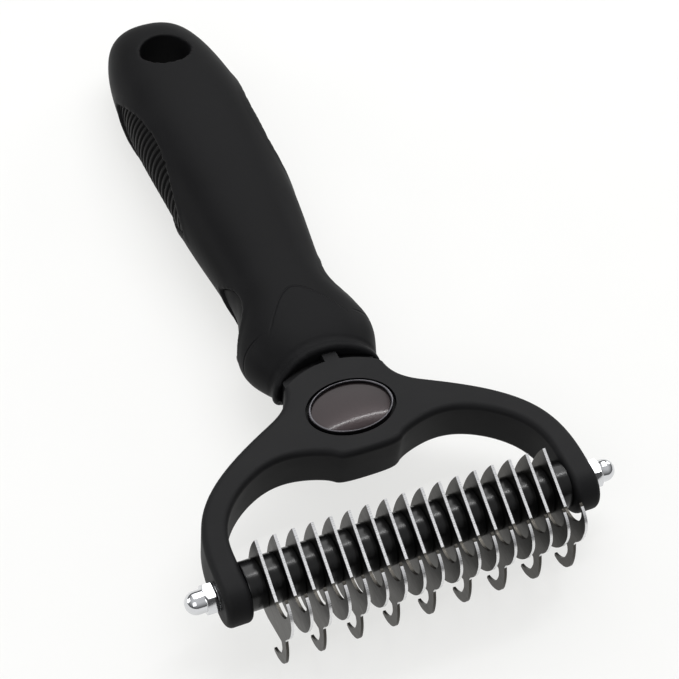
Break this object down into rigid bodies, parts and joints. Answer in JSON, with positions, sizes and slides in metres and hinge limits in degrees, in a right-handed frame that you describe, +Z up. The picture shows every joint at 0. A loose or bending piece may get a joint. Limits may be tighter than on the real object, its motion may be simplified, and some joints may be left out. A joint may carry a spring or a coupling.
{
  "type": "dematting comb",
  "caption": "Dematting comb with a moulded fork on a soft-grip handle, thin hooked steel blades and spacers on one axle, and a domed cap nut at each end",
  "frame": {"origin": "middle of the bounding box's underside, on the plane of the comb's lowest point", "axes": "+X along the axle to the right nut, +Y from the blades to the handle's butt, +Z up, away from the long hooks"},
  "size_m": [0.111, 0.2083, 0.0304],
  "materials": {
    "blade_steel": "stamped stainless sheet, tumbled, with brighter ground edges",
    "spacer_plastic": "moulded black nylon, glossy",
    "rod_steel": "zinc plated threaded steel",
    "nut_chrome": "bright chrome plate",
    "fork_plastic": "moulded black ABS, fine spark-eroded texture",
    "badge_chrome": "bright plated rim",
    "badge_gunmetal": "smoked metallic lacquer under clear gloss",
    "foam": "black double-sided foam",
    "core_plastic": "moulded black polypropylene",
    "grip_rubber": "black soft-touch thermoplastic rubber, satin",
    "pad_rubber": "black thermoplastic rubber, ribbed across the handle"
  },
  "bodies": {
    "comb": {"blade_01": "blade_steel", "blade_02": "blade_steel", "blade_03": "blade_steel", "blade_04": "blade_steel", "blade_05": "blade_steel", "blade_06": "blade_steel", "blade_07": "blade_steel", "blade_08": "blade_steel", "blade_09": "blade_steel", "blade_10": "blade_steel", "blade_11": "blade_steel", "blade_12": "blade_steel", "blade_13": "blade_steel", "blade_14": "blade_steel", "blade_15": "blade_steel", "blade_16": "blade_steel", "blade_17": "blade_steel", "spacer_01": "spacer_plastic", "spacer_02": "spacer_plastic", "spacer_03": "spacer_plastic", "spacer_04": "spacer_plastic", "spacer_05": "spacer_plastic", "spacer_06": "spacer_plastic", "spacer_07": "spacer_plastic", "spacer_08": "spacer_plastic", "spacer_09": "spacer_plastic", "spacer_10": "spacer_plastic", "spacer_11": "spacer_plastic", "spacer_12": "spacer_plastic", "spacer_13": "spacer_plastic", "spacer_14": "spacer_plastic", "spacer_15": "spacer_plastic", "spacer_16": "spacer_plastic", "end_spacer_left": "spacer_plastic", "end_spacer_right": "spacer_plastic", "axle_rod": "rod_steel", "fork_frame": "fork_plastic", "badge_ring": "badge_chrome", "badge_dome": "badge_gunmetal", "badge_adhesive": "foam", "handle_core": "core_plastic", "handle_grip": "grip_rubber", "tang_pin": "rod_steel", "left_long_pad": "pad_rubber", "left_short_pad": "pad_rubber", "right_long_pad": "pad_rubber", "right_short_pad": "pad_rubber"},
    "left_washer": {"washer_left": "nut_chrome"},
    "left_nut": {"cap_nut_left": "nut_chrome"},
    "right_washer": {"washer_right": "nut_chrome"},
    "right_nut": {"cap_nut_right": "nut_chrome"}
  },
  "joints": [
    {"name": "left_nut_feed", "type": "slide", "parent": "comb", "child": "left_washer", "axis": [-1, 0, 0], "range_m": [0, 0.0042]},
    {"name": "left_nut_turn", "type": "hinge", "parent": "left_washer", "child": "left_nut", "pos_m": [0, -0.08605, 0.01744], "axis": [-1, 0, 0], "range_deg": [0, 2160]},
    {"name": "right_nut_feed", "type": "slide", "parent": "comb", "child": "right_washer", "axis": [1, 0, 0], "range_m": [0, 0.0042]},
    {"name": "right_nut_turn", "type": "hinge", "parent": "right_washer", "child": "right_nut", "pos_m": [0, -0.08605, 0.01744], "axis": [1, 0, 0], "range_deg": [0, 2160]}
  ],
  "couplings": [
    {"joint": "left_nut_turn", "follows": "left_nut_feed", "rad_per_m": 8976},
    {"joint": "right_nut_turn", "follows": "right_nut_feed", "rad_per_m": 8976}
  ]
}
